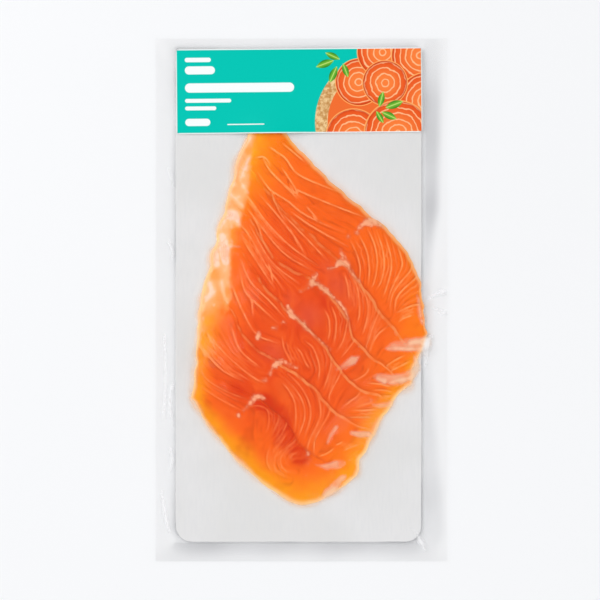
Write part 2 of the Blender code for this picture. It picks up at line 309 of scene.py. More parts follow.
# Lines over the belly, for each slice: millimetres right of its notch and down from it.
BELLY_LINES = (
    (
        ((-12, 11), (-8.6, 18.5), (-7, 26), (-8, 33.5)),
        ((-8.5, 7), (-4, 16), (-2.5, 25), (-3, 34)),
        ((-3.5, 5), (0, 13), (1.5, 22), (0.2, 31), (-1.5, 35)),
        ((1, 6), (4.0, 15), (5.0, 23.5), (3.5, 31.5), (1.2, 35.5)),
        ((5, 8), (8, 18), (8.5, 25.5), (6, 35), (4.5, 39.5)),
        ((11, 12), (13, 18), (14, 23.5), (12, 28.5), (8.7, 35.5), (6.7, 42)),
        ((18, 19.7), (19, 22), (18.3, 26), (15, 30), (11, 35), (8.3, 40.5), (8, 47)),
        ((23, 27.7), (19, 31.7), (14.7, 35.5), (11, 40.5), (10.3, 47)),
        ((25, 43.5), (20, 43.5), (15, 45.5), (11, 47.5)),
        ((19.5, 48.5), (15, 50), (12, 52)),
    ),
    (
        ((0.7, 6), (2.3, 12.2), (3, 18.5)),
        ((4, 6.5), (6.7, 12), (8, 20), (8, 26.5), (7, 30.5)),
        ((6.7, 6.5), (9.5, 13), (12, 19.5), (12.3, 25.7), (10.7, 33), (9.5, 36)),
        ((14.2, 15.5), (17.5, 18.5), (18.2, 23.5), (16.5, 28), (14.7, 33), (12, 40.8), (11, 44.8)),
        ((22.5, 32), (17.5, 36), (14.5, 41), (13, 45)),
        ((31, 46.5), (26, 49), (21, 52.5), (18, 55.5)),
        ((33.5, 49.5), (27.5, 52.5), (22.5, 55)),
    ),
    (
        ((3.8, 13.8), (6.2, 18.5), (6.7, 25), (5.8, 29.7)),
        ((7.8, 13), (9.8, 18.5), (9.8, 25), (8.7, 32)),
        ((14.2, 13.8), (15.4, 18.5), (15, 23.3), (13.4, 29.7), (10.2, 35.3)),
        ((19.8, 24.2), (20.2, 27.3), (17.4, 32), (14.2, 36), (12.2, 38.5)),
        ((26.5, 42.5), (25, 46), (20.5, 49), (18, 49.5)),
        ((38, 53), (32, 51.5), (26, 51)),
        ((38.5, 55.5), (33.5, 54.5), (28, 54.5)),
        ((38, 57.5), (33, 57.5), (29, 58)),
    ),
    (
        ((-4.8, 12), (-4, 17), (-1.7, 21.7), (0, 25)),
        ((2.3, 17), (4.7, 20), (7, 25), (8.7, 27.3)),
        ((6.3, 13.7), (10.3, 17), (13, 23.3), (13.8, 28.8), (13, 34.5)),
        ((16.6, 14.5), (19, 19.3), (19.5, 25.7), (17.8, 32), (15.8, 38.5)),
        ((24.5, 25), (25, 28), (21.5, 35.2), (18.7, 40.8), (18.7, 44)),
        ((34.5, 38.5), (32.5, 41.5), (29, 44), (25.5, 47)),
        ((40, 44.5), (36.5, 45.5), (31.5, 47)),
        ((42.5, 48), (36.5, 48.5), (29, 48.5)),
        ((40, 52), (34, 52), (28, 52)),
    ),
    (
        ((0, 9), (4, 14), (7, 20), (7.5, 28), (7, 34.5)),
        ((1, 7), (7.3, 13.5), (10.9, 19.8), (12, 27), (10, 34), (8.5, 37.3)),
        ((3.3, 5.5), (9.7, 11.8), (13.7, 19), (14.9, 25.4), (13.7, 31.7), (11.3, 38)),
        ((16.8, 12.5), (19.2, 19), (19.7, 27), (16.5, 34), (13.7, 40.5), (13.3, 44.5)),
        ((25.5, 20.5), (23.2, 27), (19.2, 34), (16.8, 39.7), (16.5, 46)),
        ((31, 39.5), (27.5, 41.5)),
        ((39, 41), (35, 42.5), (31.5, 44)),
        ((26.5, 43), (23, 45.5), (19, 47)),
    ),
    (
        ((-7, 6.5), (-2, 4.2), (2.5, 4.5), (5.5, 6.5), (6.2, 10), (6, 13.5), (5, 17)),
        ((10, 3), (11, 7), (11, 11), (9.5, 14.5), (7.5, 19)),
        ((15.5, 11), (14.5, 14), (13, 17.5), (11, 20.5), (9, 23)),
        ((15, 18), (12.5, 21.5), (9.5, 25.5), (7.5, 28)),
        ((21, 19.5), (18, 22.5), (14, 25.5), (10, 28.5), (8, 32)),
        ((16, 30.5), (18, 28.4), (20.5, 27.5)),
        ((19, 23), (16, 25), (13.5, 27.5), (12, 30.5), (12.2, 34), (14.5, 36.6), (19, 37.6)),
        ((12, 24.5), (9.6, 28.5), (8.6, 32.5), (9.6, 36), (12.4, 38.8), (16.5, 40)),
        ((6.5, 25), (5.2, 29), (5.4, 33), (7.5, 37)),
    ),
)
# Short steep branches between the back's lines, each over whatever slices it crosses: millimetres in
# the pack's frame.
BRANCHES = (
    ((-9.8, 66), (-5.8, 60), (-2.8, 55), (-1.8, 51)),
    ((-12.8, 62), (-8.8, 57.5), (-4.8, 53.5), (-2.2, 50.5)),
    ((-14.8, 54), (-13.8, 50), (-10.8, 44), (-7.8, 39)),
    ((-6.2, 36), (-3.8, 32), (-1.2, 26.5)),
    ((-24.8, 42.5), (-21.8, 37.5), (-20.2, 32.5), (-18.8, 28.5), (-15.8, 23.5)),
    ((-16.8, 19), (-15.2, 14), (-14.2, 8.5)),
    ((2.2, 47), (5.2, 43.5), (8.8, 39)),
    ((-28.8, 54), (-25.8, 50), (-23.2, 46), (-21.8, 43)),
    ((-16.2, 76.5), (-13.2, 74.5), (-10.8, 72.5)),
    ((-22.8, 71), (-19.2, 71.5), (-16.8, 69.5), (-15.2, 67)),
    ((-26.8, 4), (-24.8, -1), (-24, -8)),
    ((-53.2, -20), (-49.8, -24.5), (-47.2, -29)),
    ((-47.2, -16), (-44.8, -20.5), (-42, -26)),
)
LINE_SPACING = 2.4 * MM     # fainter lines fill the gaps between those above to about this spacing
WIDEST_GAP = 10.0 * MM      # but not where the gap is wider than this
LINE_WOBBLE = 0.4 * MM
LINE_STRENGTHS = (1.2, 1.1, 1.0, 1.0, 0.95, 0.6)    # on each slice's back
BELLY_STRENGTH = 0.85       # the same on its belly, as a share
FILLER_STRENGTHS = (0.25, 0.6)      # least and most of a fainter line, as a share
BRANCH_STRENGTH = 1.1
LINE_POINTS = 9             # that a line is drawn through, evenly along it
LINE_REACH = 1.3 * MM       # how far from a line its distance is told
LINE_TAPER = 0.18           # a line fades over this share of its length at both ends

# Pale connective tissue at each notch: millimetres right of it and up, and half the width there.
TISSUE = (
    (((-7.5, -4.8, 0.9), (-4.5, -2.7, 1.8), (-1.5, -1.6, 2.4), (1.2, -2.2, 1.8), (3.0, -4.0, 1.0)),
     ((-8.6, -7.6, 0.9), (-8.2, -7.8, 0.8)), ((-13, -9.5, 0.6), (-12, -9.6, 0.5))),
    (((-1.2, 5.8, 0.4), (-0.6, 3.4, 0.9), (0.2, 1.0, 1.2)),
     ((-3.4, -1.8, 1.0), (-1, 0, 1.5), (1.4, -1.0, 1.8), (3.0, -3.6, 1.3), (5, -6.4, 0.8), (8, -10, 0.5)),
     ((-7.5, -3.3, 0.5), (-4, -2.8, 0.4))),
    (((-2.4, -1.6, 1.5), (-1.0, 1.4, 1.4), (0.4, 3.4, 0.7)),
     ((-2.5, -2, 1.1), (0.5, -1.6, 1.2), (3, -3.2, 1.3), (6, -6, 1.0), (9, -8.6, 0.6), (12, -11.6, 0.7),
      (14.6, -15, 1.2), (16.0, -19, 0.8)), ((-7.5, -5, 0.5), (-4, -3.4, 0.5))),
    (((-1.6, 3.0, 0.9), (-0.6, 0.6, 1.7), (0.6, -1.4, 1.6), (3.4, -3.2, 1.1), (6.4, -6, 1.1), (9, -9.4, 0.7),
      (13, -12.6, 0.6), (19, -18, 0.4)), ((-4, -4.6, 0.8), (-3.4, -4.6, 0.7)),
     ((-9.2, -7.5, 0.9), (-8.2, -7.4, 0.8)), ((-17, -9.8, 0.9), (-16.9, -12.4, 1.1))),
    (((-3.0, -1.8, 1.3), (-1.2, 0.2, 1.5), (1.2, 0.2, 1.1), (4, -1.2, 0.8), (8, -3, 0.3)),
     ((-3.6, -2, 0.5), (-5.6, -5.4, 0.7)), ((-8.7, -8.8, 0.9), (-8.0, -8.8, 0.9))),
    (((-3.6, -3.6, 0.8), (-1.5, -0.4, 1.5), (1, 0.4, 1.6), (3.4, -0.2, 0.7)),
     ((-4.4, -4.4, 0.4), (-6.2, -6.6, 0.6)), ((-9.6, -8.6, 1.0), (-8.8, -8.8, 0.9)),
     ((24.6, -26.6, 0.2), (25.6, -28.2, 0.6))),
)
# Where the flesh is rosier or darker: millimetres in the pack's frame, radius, rosy, dark.
TINTS = (
    (18, 7.5, 7, 0.9, 0.1), (4, -8, 8, 1.0, 0.1), (-13, -26, 6, 0.8, 0.1), (12, 17, 5, 0.6, 0.0),
    (-6, 1, 5, 0.6, 0.0), (25, -1, 6, 0.5, 0.2), (12, -1, 5, 0.0, 0.8), (22, -11, 5, 0.0, 0.6),
    (-3, -15, 5, 0.0, 0.5), (-31, -45, 7, 0.1, 0.8), (-19, -51, 5, 0.1, 1.8), (-10, -58, 6, 0.0, 1.4),
    (-8, -69, 6, 0.0, 1.6), (-1, -78, 5, 0.0, 1.6), (-26, -36, 8, 0.2, 0.3), (7, -31, 6, 0.0, 0.3),
    (-20, -24, 7, 0.3, 0.2), (-20, 8, 7, 0.0, 0.3), (-34, -10, 8, 0.0, 0.2),
)
# The pale strip along the back, where the skin's fat is left on: its middle and half its width.
PALE_STRIP = (
    (-29.5, 88, 7.0), (-30.6, 80, 7.0), (-32.2, 70, 7.0), (-32.8, 60, 7.0), (-34.8, 50, 7.2),
    (-36.9, 42.5, 7.2), (-38.0, 36, 7.2), (-42.0, 27.5, 7.2), (-42.7, 15, 7.4), (-43.7, 0, 8.4),
    (-47.5, -8, 6.0), (-51.5, -14, 2.5),
)
# On that strip: where it is whiter (above 0) or more of an ochre (below): x, y, radius, whiteness.
STRIP_PATCHES = (
    (-33.5, 41.5, 3.0, 0.8), (-41, 38, 3.0, 0.5), (-41.5, 20, 3.0, 0.6), (-39.5, 26, 3.0, 0.5),
    (-26, 74, 3.2, -0.7), (-36.5, 49, 3.0, -0.4), (-28, 60, 4.0, -0.3), (-29, 46, 4.5, -0.6),
    (-32.8, 33.8, 2.4, -4.0), (-32.8, 30.4, 2.2, -3.5), (-33.4, 21, 2.2, -3.0), (-43.8, 12.5, 2.8, -1.5),
    (-38.8, 3, 3.4, -1.4), (-45, -11, 5.0, -2.6), (-39, -5, 5.0, -1.6), (-50.5, -11, 3.0, -0.5),
)
# Folds of white fat on it: the same, as routes with half their widths.
STRIP_FOLDS = (
    ((-26.2, 81, 1.3), (-30.2, 76, 1.2), (-32.8, 70, 1.0), (-33.8, 64, 0.6)),
    ((-25.8, 71.5, 0.4), (-28.2, 66, 0.8), (-30.2, 61, 0.6)), ((-34.2, 58, 1.0), (-37.2, 56, 0.8)),
    ((-36.2, 53.5, 0.3), (-32.8, 50.5, 0.5), (-29.2, 46.5, 0.3)),
    ((-29.2, 57, 0.2), (-26.2, 53, 0.5), (-23.2, 48, 0.2)),
    ((-41.2, 37, 1.2), (-38.8, 41.5, 2.0), (-35.2, 42.6, 2.4), (-32.2, 41.0, 1.6), (-30.8, 37.5, 0.6)),
    ((-39.4, 31, 2.0), (-38.4, 25, 2.8), (-37.6, 19, 1.8)), ((-35.2, 26.5, 0.8), (-30.2, 26.5, 0.7)),
    ((-42.8, 26, 1.0), (-42.4, 18, 1.4)), ((-39.8, 9, 0.5), (-38.8, 3, 0.6), (-36.8, -1.5, 0.3)),
    ((-45.8, 8, 1.0), (-44.8, 4, 1.3), (-47.8, 0, 0.9)), ((-51.8, -3, 0.8), (-52.2, -9, 0.5)),
)
# Its rim bulges between these places, in slices down the pile.
LOBE_ENDS = (0.0, 0.75, 1.65, 2.33, 3.1, 3.5, 4.1, 4.4)
LOBE_DEPTH = 1.0 * MM
# How far the pile's sides lie inside the edges' ends, and at which slices down.
BACK_INSETS = np.array((0.4, 0.6, 1.4, 2.1, 2.1, 0.6)) * MM
BACK_PLACES = (0.9, 1.3, 1.7, 2.3, 3.6, 4.2)
BELLY_INSETS = np.array((0.0, 1.8, 1.2, 0.4, 1.5, 0.0)) * MM
BELLY_PLACES = (4.1, 4.5, 4.9, 5.0, 5.4, 6.0)
SIDE_SHARE = 0.15           # the share of a slice's width over which a side is drawn in so
SHORE_RIPPLE = 0.7 * MM     # how unevenly the slices end, most of all along the belly
RIPPLE_LENGTH = 9.0 * MM
RIPPLE_SHARE = 0.2          # the share of the width over which that grows


def catmull_rom(points, where):
    """A smooth curve through the points, read at each place in where, 0 at the first point.
    Between two points it is a cubic whose slope at each is half the step between its neighbours."""
    points = np.asarray(points, dtype=float)
    first = 2 * points[0] - points[1]
    last = 2 * points[-1] - points[-2]
    padded = np.concatenate(([first], points, [last]))
    where = np.atleast_1d(where)
    start = np.clip(where.astype(int), 0, len(points) - 2)
    t = (where - start).reshape((-1,) + (1,) * (points.ndim - 1))
    a, b, c, d = (padded[start + k] for k in range(4))
    return 0.5 * (2 * b + (c - a) * t + (2 * a - 5 * b + 4 * c - d) * t**2 + (3 * b - a - 3 * c + d) * t**3)


def round_off(distance, reach):
    """A quarter ellipse from 0 at the rim to 1 where the distance from it is at least reach."""
    return np.sqrt(1 - (1 - np.clip(distance / reach, 0, 1)) ** 2)


def on_net(places):
    """The plan points at places given as spans along an edge and slices down the pile."""
    places = np.array(places)
    columns = np.stack([catmull_rom(edge, places[:, 0]) for edge in SLICE_EDGES], axis=1)
    return np.concatenate([catmull_rom(column, down) for column, down in zip(columns, places[:, 1])])


def pile_height(down):
    """Height of the pile over the card at its full thickness, for places in slices down the pile."""
    top = np.clip(down.astype(int), 0, SLICE_COUNT - 1)
    share = down - top
    height = EDGE_HEIGHTS[top] + (TUCK_HEIGHTS[top] - EDGE_HEIGHTS[top]) * share
    thinned = height * round_off(1 - share, LAST_RIM)
    return np.where(top == SLICE_COUNT - 1, thinned, height), top


def runs_of(points, weights, steps=10):
    """A route cut into short straight runs: start x, y and weight, then end x, y and weight."""
    points = np.asarray(points, dtype=float)
    share = np.linspace(0, 1, (len(points) - 1) * steps + 1)
    weights = np.interp(share, np.linspace(0, 1, len(weights)), weights)
    route = np.column_stack((catmull_rom(points, share * (len(points) - 1)), weights))
    return np.concatenate((route[:-1], route[1:]), axis=1)


def drawn(strokes, origin=(0.0, 0.0), steps=10):
    """Runs of strokes, each given as x, y and half its width, in millimetres from an origin."""
    scaled = [np.array(stroke) * MM for stroke in strokes]
    return np.concatenate([runs_of(stroke[:, :2] + origin, stroke[:, 2], steps) for stroke in scaled])


def nearest_run(points, runs, by_width):
    """Distance of each point from the nearest run, its side as a sign, and that run's weight there.
    By width, the weight is half the run's width, and the distance is measured from its border."""
    found = []
    for part in np.array_split(points, len(points) // 3000 + 1):
        from_start = part[:, None] - runs[None, :, :2]
        along = runs[:, 3:5] - runs[:, :2]
        length = (along**2).sum(1)
        share = np.clip((from_start * along).sum(2) / length, 0, 1)
        apart = from_start - share[..., None] * along
        weight = runs[:, 2] + share * (runs[:, 5] - runs[:, 2])
        distance = np.sqrt((apart**2).sum(2)) - (weight if by_width else 0)
        best = distance.argmin(1)
        each = np.arange(len(part))
        side = along[best, 0] * apart[each, best, 1] - along[best, 1] * apart[each, best, 0]
        found.append(np.column_stack((distance[each, best], np.sign(side), weight[each, best])))
    return np.concatenate(found)


def between_lines(points, routes):
    """Where each point lies among the lines: 2.5 is halfway from line 2 to line 3."""
    apart = np.array([nearest_run(points, runs_of(route, (1, 1), 4), False)[:, 0] for route in routes])
    guarded = np.pad(apart, ((1, 1), (0, 0)), constant_values=1.0)
    best = apart.argmin(0)
    each = np.arange(len(points))
    before, here, after = (guarded[best + k, each] for k in range(3))
    return best + np.where(after < before, here / (here + after), -here / (here + before))


def faded(strength):
    """Weights of a line of fat, which fades towards both ends."""
    share = np.linspace(0, 1, 23)
    return strength * np.clip(np.minimum(share, 1 - share) / LINE_TAPER, 0.15, 1)


def spotted(points, spots):
    """Sums of soft spots at each point. A spot has its x, y, radius in millimetres and its strengths,
    and fades as a bell curve of the distance."""
    total = np.zeros((len(points), len(spots[0]) - 3))
    for x, y, radius, *strengths in spots:
        near = np.exp(-((points - np.array((x, y)) * MM) ** 2).sum(1) / (radius * MM) ** 2)
        total += near[:, None] * strengths
    return total


def smooth_step(share):
    """From 0 to 1, level at both ends: 3 share squared less 2 share cubed."""
    share = np.clip(share, 0, 1)
    return share**2 * (3 - 2 * share)


def closed_sheet(name, top, bottom, **attributes):
    """A closed piece from two grids of points with the same plan, the upper one facing up."""
    rows, columns = top.shape[:2]
    index = np.arange(2 * rows * columns).reshape(2, rows, columns)
    quads = []
    for layer, turn in ((index[0], 1), (index[1], -1)):
        corners = (layer[:-1, :-1], layer[1:, :-1], layer[1:, 1:], layer[:-1, 1:])
        quads.append(np.stack(corners[::turn], axis=2).reshape(-1, 4))
    upper, lower = (
        np.concatenate((side[0, :-1], side[:-1, -1], side[-1, :0:-1], side[:0:-1, 0])) for side in index
    )
    quads.append(np.column_stack((upper, np.roll(upper, -1), np.roll(lower, -1), lower)))
    vertices = np.concatenate((top.reshape(-1, 3), bottom.reshape(-1, 3)))
    doubled = {label: np.concatenate((values, values)) for label, values in attributes.items()}
    return mesh_object(name, vertices, np.concatenate(quads).tolist(), **doubled)


def waves(x, y, seed, length, count=7):
    """Gentle irregular waves of the given length, between about -1 and 1: a sum of seeded sines."""
    draw = np.random.default_rng(seed)
    total = np.zeros_like(x)
    for angle, phase, stretch in draw.uniform((0, 0, 0.6), (np.pi, 2 * np.pi, 1.6), (count, 3)):
        total += np.sin(2 * np.pi * (x * np.cos(angle) + y * np.sin(angle)) / (length * stretch) + phase)
    return total / np.sqrt(count)


# The lines' runs, each with the slice that it is on, or with None for a branch.
notches = SLICE_EDGES[:SLICE_COUNT, NOTCH]
draw = np.random.default_rng(12)
line_runs = []
line_routes = []
for index in range(SLICE_COUNT):
    back = [on_net(points) for points in BACK_LINES if int(points[-1][1]) == index]
    belly = [notches[index] + np.array(points) * (MM, -MM) for points in BELLY_LINES[index]]
    line_routes.append((back, belly))
    back_strength = LINE_STRENGTHS[index]
    for routes, strength in ((back, back_strength), (belly, BELLY_STRENGTH * back_strength)):
        even = [catmull_rom(route, np.linspace(0, len(route) - 1, LINE_POINTS)) for route in routes]
        line_runs += [(index, runs_of(route, faded(strength), 5)) for route in even]
        for route, after in zip(even[:-1], even[1:]):
            gap = np.linalg.norm(route - after, axis=1).mean()
            count = int(gap / LINE_SPACING + 0.5) if gap < WIDEST_GAP else 1
            for step in range(1, count):
                where = np.linspace(draw.uniform(0, 2), LINE_POINTS - 1 - draw.uniform(0, 3), LINE_POINTS)
                filler = catmull_rom(route + (after - route) * step / count, where)
                filler = filler + LINE_WOBBLE * draw.uniform(-1, 1, filler.shape)
                fainter = faded(strength * draw.uniform(*FILLER_STRENGTHS))
                line_runs.append((index, runs_of(filler, fainter, 5)))
for points in BRANCHES:
    line_runs.append((None, runs_of(np.array(points) * MM, faded(BRANCH_STRENGTH))))
tissue_runs = np.concatenate([drawn(strokes, notch) for notch, strokes in zip(notches, TISSUE)])
strip_runs = drawn([PALE_STRIP])
fold_runs = drawn(STRIP_FOLDS)

u = np.linspace(0, 1, COLUMNS)
u = u - SIDE_CROWDING * np.sin(2 * np.pi * u) / (2 * np.pi)
edges_across = np.stack([catmull_rom(edge, u * SPANS) for edge in SLICE_EDGES])
steps = EDGE_HEIGHTS - np.concatenate(([0.0], TUCK_HEIGHTS[:-1]))


def rows_down(index):
    """Where a slice's rows of points lie, in slices down the pile, with those under the next ones."""
    share = np.linspace(0, 1, ROWS)
    share = share - EDGE_CROWDING * np.sin(np.pi * share) / np.pi
    down = index + share / share[-1]
    if index < SLICE_COUNT - 1:
        end = min(index + 1 + HIDDEN_SPAN, SLICE_COUNT - LAST_HIDDEN)
        down = np.concatenate((down, np.linspace(down[-1], end, HIDDEN_ROWS + 1)[1:]))
    return down


def slice_plan(down):
    """The plan of a slice: a smooth surface through the edges, rippled, with its two sides drawn in."""
    near_back = np.clip(1 - u / SIDE_SHARE, 0, 1) ** 2
    near_belly = np.clip(1 - (1 - u) / SIDE_SHARE, 0, 1) ** 2
    rippled = 0.5 + 0.5 * np.clip(1 - (1 - u) / RIPPLE_SHARE, 0, 1) ** 2
    plan = catmull_rom(edges_across, down)
    ripple = np.stack([waves(plan[..., 0], plan[..., 1], seed, RIPPLE_LENGTH) for seed in (3, 4)], axis=2)
    plan = plan + SHORE_RIPPLE * ripple * rippled[:, None]
    lobes = np.abs(np.sin(np.pi * np.interp(down, LOBE_ENDS, np.arange(len(LOBE_ENDS)))))
    inset = np.interp(down, BACK_PLACES, BACK_INSETS) + LOBE_DEPTH * (0.6 - lobes) * (down < LOBE_ENDS[-1])
    plan[..., 0] += inset[:, None] * near_back
    inset = np.interp(down, BELLY_PLACES, BELLY_INSETS)
    plan[..., 0] -= inset[:, None] * near_belly
    return plan


def full_height(index, down):
    """Height over the card of a slice's upper side where it is thickest: that of the pile, less what
    the next slices add to it."""
    last = index == SLICE_COUNT - 1
    height, covering = pile_height(down if last else np.minimum(down, SLICE_COUNT - LAST_HIDDEN))
    height = height - np.array([steps[index + 1:top + 1].sum() for top in covering])
    if not last:
        shown = down <= index + 1
        change = TUCK_HEIGHTS[index] - EDGE_HEIGHTS[index]
        height[shown] = EDGE_HEIGHTS[index] + change * (down[shown] - index)
    return height


slices = []
side_rims = []
for index in range(SLICE_COUNT):
    last = index == SLICE_COUNT - 1
    down = rows_down(index)
    plan = slice_plan(down)
    side_rims.append(plan[down <= index + 1][::6, (0, -1)])
    height = full_height(index, down)

    # Distances over the plan, from the slice's left and right ends, its cut edge, the next slice's
    # edge and the pile's upper tip.
    run = np.linalg.norm(np.diff(plan, axis=1), axis=2)
    drop = np.linalg.norm(np.diff(plan, axis=0), axis=2)
    from_left = np.concatenate((np.zeros((len(down), 1)), np.cumsum(run, axis=1)), axis=1)
    from_right = from_left[:, -1:] - from_left
    from_cut = np.concatenate((np.zeros((1, COLUMNS)), np.cumsum(drop, axis=0)))
    to_next = np.abs(down[:, None] - index - 1) * drop.sum(0) / (down[-1] - index)
    from_tip = np.linalg.norm(plan - edges_across[0, 0], axis=2)

    # How high the slice's underside and its upper side lie over the card.
    rounding = round_off(np.minimum(from_left, from_right), RIM_ROUND)
    thinning = TIP_THICKNESS + (1 - TIP_THICKNESS) * np.minimum(from_tip / TIP_REACH, 1)
    fullness = np.interp(u, ACROSS, FULLNESS) * thinning * rounding * FLESH_SHARE
    under = np.maximum(height - steps[index], 0)[:, None] * fullness
    cut = np.clip(from_cut / (CUT_ROUND if index else FIRST_CUT_ROUND), 0, 1)
    cut = cut * (2 - cut)
    over = RIM_HEIGHT + (height[:, None] - RIM_HEIGHT) * fullness
    over = under + (over - under) * (CUT_START + (1 - CUT_START) * cut)

    # Distance from the rims that show.
    scale_left, scale_right = RIM_SCALES[index]
    rim = np.minimum(scale_left * from_left, scale_right * from_right)
    shown_rim = np.minimum(from_left, from_right)
    if last:
        rim = np.minimum(rim, LAST_RIM_SCALE * to_next)
        shown_rim = np.minimum(shown_rim, to_next)
    elif index == 0:
        rim = np.minimum(rim, FIRST_RIM_START + FIRST_RIM_SCALE * from_cut)
        shown_rim = np.minimum(shown_rim, from_cut)

    # What is drawn on the slice.
    flat = plan.reshape(-1, 2)
    strip = -nearest_run(flat, strip_runs, True)[:, 0]
    back, belly = (between_lines(flat, routes) for routes in line_routes[index])
    streak = np.where(np.tile(u * SPANS < NOTCH, len(down)), back, belly + 20)
    runs = np.concatenate([run for owner, run in line_runs if owner in (index, None)])
    distance, side, strength = nearest_run(flat, runs, False).T
    angle = np.pi * side * np.minimum(distance / LINE_REACH, 1)
    tissue = -nearest_run(flat, tissue_runs, True)[:, 0]
    rosy, dark = spotted(flat, TINTS).T
    fold = -nearest_run(flat, fold_runs, True)[:, 0] / MM
    patch = spotted(flat, STRIP_PATCHES)[:, 0] + 1.9 * smooth_step((fold + 1.5) / 2.6)
    tone = over / (10 * MM) / thinning**0.6
    paleness = np.clip(1 + strip / PALE_REACH, 0, 1) ** 1.4

    relief = -LINE_DEPTH * strength * np.exp(-(distance / LINE_HALF_WIDTH) ** 2)
    relief += TISSUE_HEIGHT * np.clip(tissue / MM + 0.3, 0, 1)
    relief += DIMPLE_DEPTH * waves(flat[:, 0], flat[:, 1], 11 + index, DIMPLE_LENGTH)
    relief *= np.clip(over.ravel() / SOFT_RELIEF, 0, 1)
    top_z = CARD_FACE + FLESH_GAP + THINNEST + over + relief.reshape(over.shape)
    bottom_z = np.minimum(CARD_FACE + FLESH_GAP + under, top_z - THINNEST)
    piece = closed_sheet(
        f"trout_slice_{index + 1}",
        np.dstack((plan, top_z)),
        np.dstack((plan, bottom_z)),
        septa=np.column_stack((np.cos(angle), np.sin(angle), strength)),
        flesh=np.column_stack((tone.ravel() + RICHNESS[index] - PALENESS[index] * paleness, rosy, dark)),
        marks=np.column_stack((tissue, from_cut.ravel() + 3 * MM * last, rim.ravel())) / MM,
        zones=np.column_stack((strip / MM, to_next.ravel() / MM, streak)),
        patch=patch,
        shown_rim=shown_rim.ravel() / MM,
    )
    slices.append(piece)
    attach(piece, "root")

trout, wire, shader = finish(
    "salted_trout",
    Roughness=0.45,
    Specular_IOR_Level=0.06,
    Emission_Strength=1.0,
)
place = wire.node("TexCoord", output=3)


def parts(name):
    """The three values of a vector on the vertices."""
    vector = wire.node("Attribute", output=1, attribute_name=name)
    return [vector.node("SeparateXYZ", {0: vector}, output=part) for part in range(3)]


# The values of the mesh as the shader reads them.
line_cos, line_sin, line_strength = parts("septa")
thick, rosy, dark = parts("flesh")
tissue, from_cut, rim = parts("marks")
strip, to_next, streak = parts("zones")
clouds = place.noise(70.0, detail=3.0)
blotches = place.noise(230.0, detail=2.0)
fine = place.noise(420.0, detail=4.0, roughness=0.6)
x, y = (place.node("SeparateXYZ", {0: place}, output=axis) for axis in range(2))
along = wire.node("CombineXYZ", {0: streak * 6.0, 1: x * 55.0, 2: y * 55.0})
fibres = along.noise(1.0, detail=3.0, roughness=0.6)

# The flesh is yellow where it is thin and redder the thicker it is.
depth = thick + (clouds - 0.5) * 0.22 + (blotches - 0.5) * 0.16
body = wire.node("ValToRGB", {0: depth}, stops=(
    (0.02, seen(255, 182, 60)),
    (0.10, seen(255, 160, 26)),
    (0.24, seen(255, 134, 18)),
    (0.45, seen(254, 110, 22)),
    (0.72, seen(245, 91, 24)),
    (0.98, seen(235, 76, 22)),
))
shore = (1 - (rim + (clouds - 0.5) * 4).rise(0.6, 11.0)) * 0.9
body = shore.paint(body, seen(255, 162, 22))
body = (rosy.rise(0.1, 1.1) * 0.55).paint(body, seen(226, 86, 62))
body = (dark.rise(0.1, 1.2) * 0.8).paint(body, seen(216, 42, 12))

# The grain of the muscle, along the lines of fat.
body = (fibres.rise(0.42, 0.72) * 0.35).paint(body, seen(255, 116, 44))
body = ((1 - fibres.rise(0.3, 0.48)) * depth.rise(0.2, 0.5, 0.06, 0.4)).paint(body, seen(200, 62, 18))

# Lines of fat, each with a painted shade along one side.
off_line = line_sin.math("ARCTAN2", line_cos) * (LINE_REACH / MM / np.pi)
off_line = off_line + (fine - 0.5) * 0.45
bright = blotches.rise(0.3, 0.65, 0.45, 1.0) * line_strength
shade = (1 - abs(off_line + 0.85).rise(0.05, 0.7)) * bright * 0.32
body = shade.paint(body, seen(188, 58, 20))
line = (1 - abs(off_line).rise(0.08, 0.72)) * bright
fat = depth.rise(0.2, 0.8).paint(seen(255, 172, 96), seen(255, 138, 80))
body = (line * 0.95).paint(body, fat)

# The cut edge is pale, and a painted shade darkens the flesh in the crevice above it.
belly = streak.rise(8.0, 12.0)
cut_line = (1 - abs(from_cut - 0.9).rise(0.3, 1.1)) * depth.rise(0.1, 0.4, 0.1, 0.85)
cut_line = cut_line * (belly * 0.36 + blotches.rise(0.35, 0.6, 0.0, 0.5))
body = cut_line.paint(body, seen(255, 156, 92))
crevice_shade = (1 - to_next.rise(0.2, 1.6)) * depth.rise(0.3, 0.6) * (belly * 0.25 + 0.05)
body = crevice_shade.paint(body, seen(188, 62, 28))

# Connective tissue at the notches.
tissue = tissue + (blotches - 0.5) * 2.4 + (fine - 0.5) * 2.6
sinew = (tissue * 0.35 + fine).rise(0.35, 1.0).paint(seen(220, 110, 74), seen(255, 182, 140))
body = (tissue.rise(-1.2, 1.2) * 0.85).paint(body, sinew)

# The strip of fat, which is made of small cells.
patch = wire.node("Attribute", output=2, attribute_name="patch") + (blotches - 0.5) * 1.4
patch = patch + (1 - rim.rise(0.2, 3.0)) * 0.8 - 0.6
cream = patch.rise(-1.6, 0.1).paint(seen(250, 158, 76), seen(253, 192, 138))
cream = patch.rise(0.0, 1.5).paint(cream, seen(253, 216, 190))
cream = ((fine + patch * 0.1).rise(0.54, 0.7) * 0.35).paint(cream, seen(252, 206, 196))
cell = {"Vector": place.node("Mapping", {0: place, 3: (1.0, 0.6, 1.0)}), "Scale": 330.0, "Randomness": 1.0}
off_cell = wire.node("TexVoronoi", cell, feature="DISTANCE_TO_EDGE")
cream = ((1 - off_cell.rise(0.02, 0.16)) * clouds.rise(0.4, 0.6) * 0.35).paint(cream, seen(252, 166, 98))
cream = (off_cell.rise(0.2, 0.45) * blotches.rise(0.4, 0.6) * 0.3).paint(cream, seen(254, 226, 206))
cover = (strip + (blotches - 0.5) * 3.0).rise(-1.2, 1.8) * patch.rise(-3.0, -1.4, 0.0, 0.92)
body = cover.paint(body, cream)

